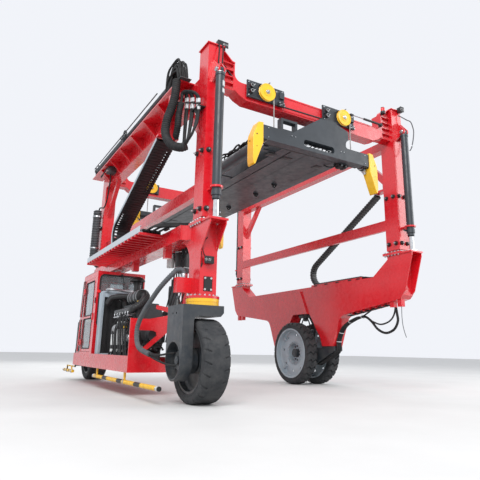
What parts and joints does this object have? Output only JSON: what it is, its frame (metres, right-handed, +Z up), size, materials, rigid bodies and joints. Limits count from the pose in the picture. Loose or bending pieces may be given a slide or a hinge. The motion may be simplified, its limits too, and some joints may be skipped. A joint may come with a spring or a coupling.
{
  "type": "straddle carrier",
  "caption": "Mobile gantry on wheels that lifts a shipping container between its legs: telescopic columns, transverse beams, top-lift spreader, side cab and engine.",
  "frame": {"origin": "on the ground, midway between the left and right column lines and between the front and rear column lines", "axes": "-Y forward, +X to the right-hand side with the twin wheels, +Z up"},
  "size_m": [5.09, 6.77, 5.434],
  "materials": {
    "paint_red": "painted",
    "paint_grey": "painted",
    "paint_yellow": "painted",
    "rim_grey": "painted",
    "steel_bare": "satin",
    "rubber": "matte",
    "glass": "clear",
    "cast_grey": "painted",
    "padding": "matte",
    "plastic_black": "satin"
  },
  "bodies": {
    "chassis": {"left_frame": "paint_red", "right_girder": "paint_red", "inner_masts": "paint_red", "lift_rods": "steel_bare", "slew_rings": "paint_yellow", "axle_saddle": "paint_grey", "engine_tray": "paint_red", "cab_shell": "paint_red", "cab_glass": "glass", "driver_seat": "padding", "engine": "cast_grey", "radiator": "rim_grey", "air_cleaner": "plastic_black", "oil_filters": "steel_bare", "side_tank": "paint_red", "chain_trough_left": "steel_bare", "chain_trough_right": "steel_bare", "bump_bars": "paint_yellow", "post_fittings": "plastic_black", "chain_left": "plastic_black", "chain_right": "plastic_black", "hub_hoses": "rubber"},
    "lift_frame": {"outer_columns": "paint_red", "cross_beams": "paint_red", "side_beam_left": "paint_red", "side_beam_right": "paint_red", "tie_bars": "paint_red", "lift_barrels": "paint_grey", "guide_pads": "plastic_black", "hoist_cylinder": "paint_grey", "column_hoses": "rubber", "mast_lamps": "plastic_black", "hose_guard": "plastic_black"},
    "side_shift": {"carriages": "paint_grey", "sheaves": "paint_yellow", "hoist_ropes": "steel_bare"},
    "spreader": {"spreader_frame": "paint_grey", "end_beams": "paint_grey", "corner_guides": "paint_yellow", "twistlocks": "steel_bare"},
    "front_steering": {"front_fork": "paint_grey"},
    "rear_steering": {"rear_fork": "paint_grey"},
    "front_wheel": {"front_wheel_tyre": "rubber", "front_wheel_rim": "paint_grey"},
    "rear_wheel": {"rear_wheel_tyre": "rubber", "rear_wheel_rim": "paint_grey"},
    "twin_wheel": {"twin_tyres": "rubber", "twin_rims": "rim_grey"},
    "door": {"cab_door": "paint_red", "door_glass": "glass"}
  },
  "joints": [
    {"name": "lift", "type": "slide", "parent": "chassis", "child": "lift_frame", "axis": [0, 0, 1], "range_m": [0, 1.5], "deforming": ["chain_left", "chain_right"]},
    {"name": "side_shift", "type": "slide", "parent": "lift_frame", "child": "side_shift", "axis": [1, 0, 0], "range_m": [-0.15, 0.15]},
    {"name": "hoist", "type": "slide", "parent": "side_shift", "child": "spreader", "axis": [0, 0, 1], "range_m": [-1.5, 0], "deforming": ["hoist_ropes"]},
    {"name": "front_steer", "type": "hinge", "parent": "chassis", "child": "front_steering", "pos_m": [-1.99, -2.83, 1.32], "axis": [0, 0, 1], "range_deg": [-60, 60], "deforming": ["hub_hoses"]},
    {"name": "rear_steer", "type": "hinge", "parent": "chassis", "child": "rear_steering", "pos_m": [-1.99, 2.83, 1.32], "axis": [0, 0, 1], "range_deg": [-60, 60]},
    {"name": "front_roll", "type": "hinge", "parent": "front_steering", "child": "front_wheel", "pos_m": [-1.99, -2.83, 0.555], "axis": [1, 0, 0], "continuous": true},
    {"name": "rear_roll", "type": "hinge", "parent": "rear_steering", "child": "rear_wheel", "pos_m": [-1.99, 2.83, 0.555], "axis": [1, 0, 0], "continuous": true},
    {"name": "twin_roll", "type": "hinge", "parent": "chassis", "child": "twin_wheel", "pos_m": [1.99, 0, 0.66], "axis": [1, 0, 0], "continuous": true},
    {"name": "cab_door_swing", "type": "hinge", "parent": "chassis", "child": "door", "pos_m": [-2.602, 1.7, 1.35], "axis": [0, 0, 1], "range_deg": [-90, 0]}
  ]
}
